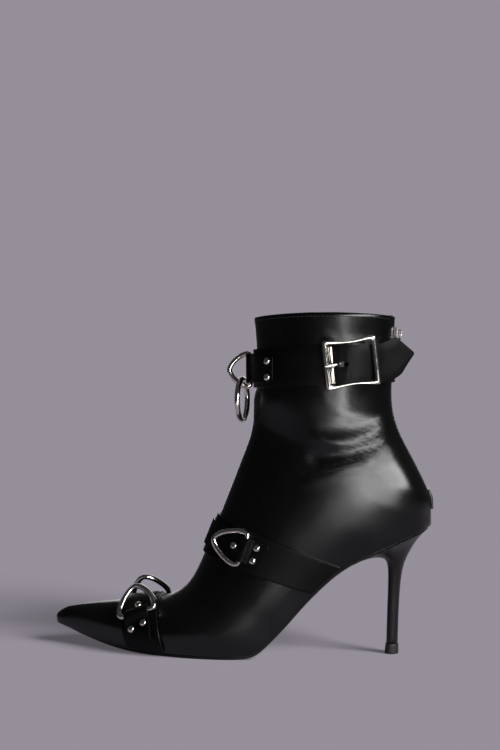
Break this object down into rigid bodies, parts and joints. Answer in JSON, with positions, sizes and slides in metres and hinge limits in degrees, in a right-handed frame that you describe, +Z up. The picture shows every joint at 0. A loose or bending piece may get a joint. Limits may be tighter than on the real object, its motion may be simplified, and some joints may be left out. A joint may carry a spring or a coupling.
{
  "type": "heeled ankle boot",
  "caption": "Pointed-toe black leather ankle boot on a stiletto heel, with a buckled ankle strap, ringed instep and toe straps and a back zip.",
  "frame": {"origin": "middle of the boot's box, on the floor it stands on", "axes": "+Z up, the toe points along -X and the heel is at +X, the outer side of the left boot faces -Y"},
  "size_m": [0.2462, 0.0808, 0.2169],
  "materials": {
    "black_leather": "smooth black calf with a soft sheen",
    "strap_leather": "black strap leather with painted edges",
    "sole_leather": "dark dyed sole leather",
    "heel_cover": "black leather stretched over the heel",
    "heel_rubber": "matt black heel tip",
    "insole_leather": "dark lining leather",
    "zip_tape": "black zip tape",
    "polished_nickel": "polished nickel plate"
  },
  "bodies": {
    "boot": {"upper": "black_leather", "outsole": "sole_leather", "insole": "insole_leather", "heel": "heel_cover", "top_piece": "heel_rubber", "zip": "zip_tape", "zip_slider": "polished_nickel", "ankle_strap": "strap_leather", "ankle_tab": "strap_leather", "buckle": "polished_nickel", "buckle_prong": "polished_nickel", "instep_strap": "strap_leather", "instep_tab": "strap_leather", "toe_strap": "strap_leather", "toe_tab": "strap_leather", "ankle_rivet_1": "polished_nickel", "ankle_rivet_2": "polished_nickel", "ankle_rivet_3": "polished_nickel", "ankle_rivet_4": "polished_nickel", "instep_rivet_1": "polished_nickel", "instep_rivet_2": "polished_nickel", "instep_rivet_3": "polished_nickel", "instep_rivet_4": "polished_nickel", "instep_rivet_5": "polished_nickel", "instep_rivet_6": "polished_nickel", "toe_rivet_1": "polished_nickel", "toe_rivet_2": "polished_nickel", "toe_rivet_3": "polished_nickel", "toe_rivet_4": "polished_nickel", "toe_rivet_5": "polished_nickel", "toe_rivet_6": "polished_nickel"},
    "front_ring": {"front_ring": "polished_nickel"},
    "hanging_ring": {"hanging_ring": "polished_nickel"},
    "instep_ring_out": {"instep_ring_out": "polished_nickel"},
    "instep_ring_in": {"instep_ring_in": "polished_nickel"},
    "toe_ring_out": {"toe_ring_out": "polished_nickel"},
    "toe_ring_in": {"toe_ring_in": "polished_nickel"},
    "zip_pull": {"zip_pull": "polished_nickel"}
  },
  "joints": [
    {"name": "front_ring_swing", "type": "hinge", "parent": "boot", "child": "front_ring", "pos_m": [0.00625, 0.00342, 0.18127], "axis": [0, 0, 1], "range_deg": [-20, 20]},
    {"name": "hanging_ring_swing", "type": "hinge", "parent": "front_ring", "child": "hanging_ring", "pos_m": [0.00085, 0.00342, 0.17147], "axis": [-0.9925, 0.1219, 0], "range_deg": [-35, 35]},
    {"name": "instep_ring_out_lift", "type": "hinge", "parent": "boot", "child": "instep_ring_out", "pos_m": [0.00528, -0.02755, 0.06864], "axis": [0.3388, 0.0456, 0.9398], "range_deg": [0, 140]},
    {"name": "instep_ring_in_lift", "type": "hinge", "parent": "boot", "child": "instep_ring_in", "pos_m": [0.00532, 0.03285, 0.06855], "axis": [-0.3326, 0.0265, -0.9427], "range_deg": [0, 140]},
    {"name": "toe_ring_out_lift", "type": "hinge", "parent": "boot", "child": "toe_ring_out", "pos_m": [-0.06416, -0.01911, 0.02598], "axis": [0.9472, -0.0774, 0.3112], "range_deg": [0, 130]},
    {"name": "toe_ring_in_lift", "type": "hinge", "parent": "boot", "child": "toe_ring_in", "pos_m": [-0.06385, 0.0309, 0.02606], "axis": [-0.9688, -0.0195, -0.2472], "range_deg": [0, 130]},
    {"name": "zip_pull_swing", "type": "hinge", "parent": "boot", "child": "zip_pull", "pos_m": [0.10248, 0.00342, 0.20527], "axis": [0, -1, 0], "range_deg": [0, 160]}
  ]
}
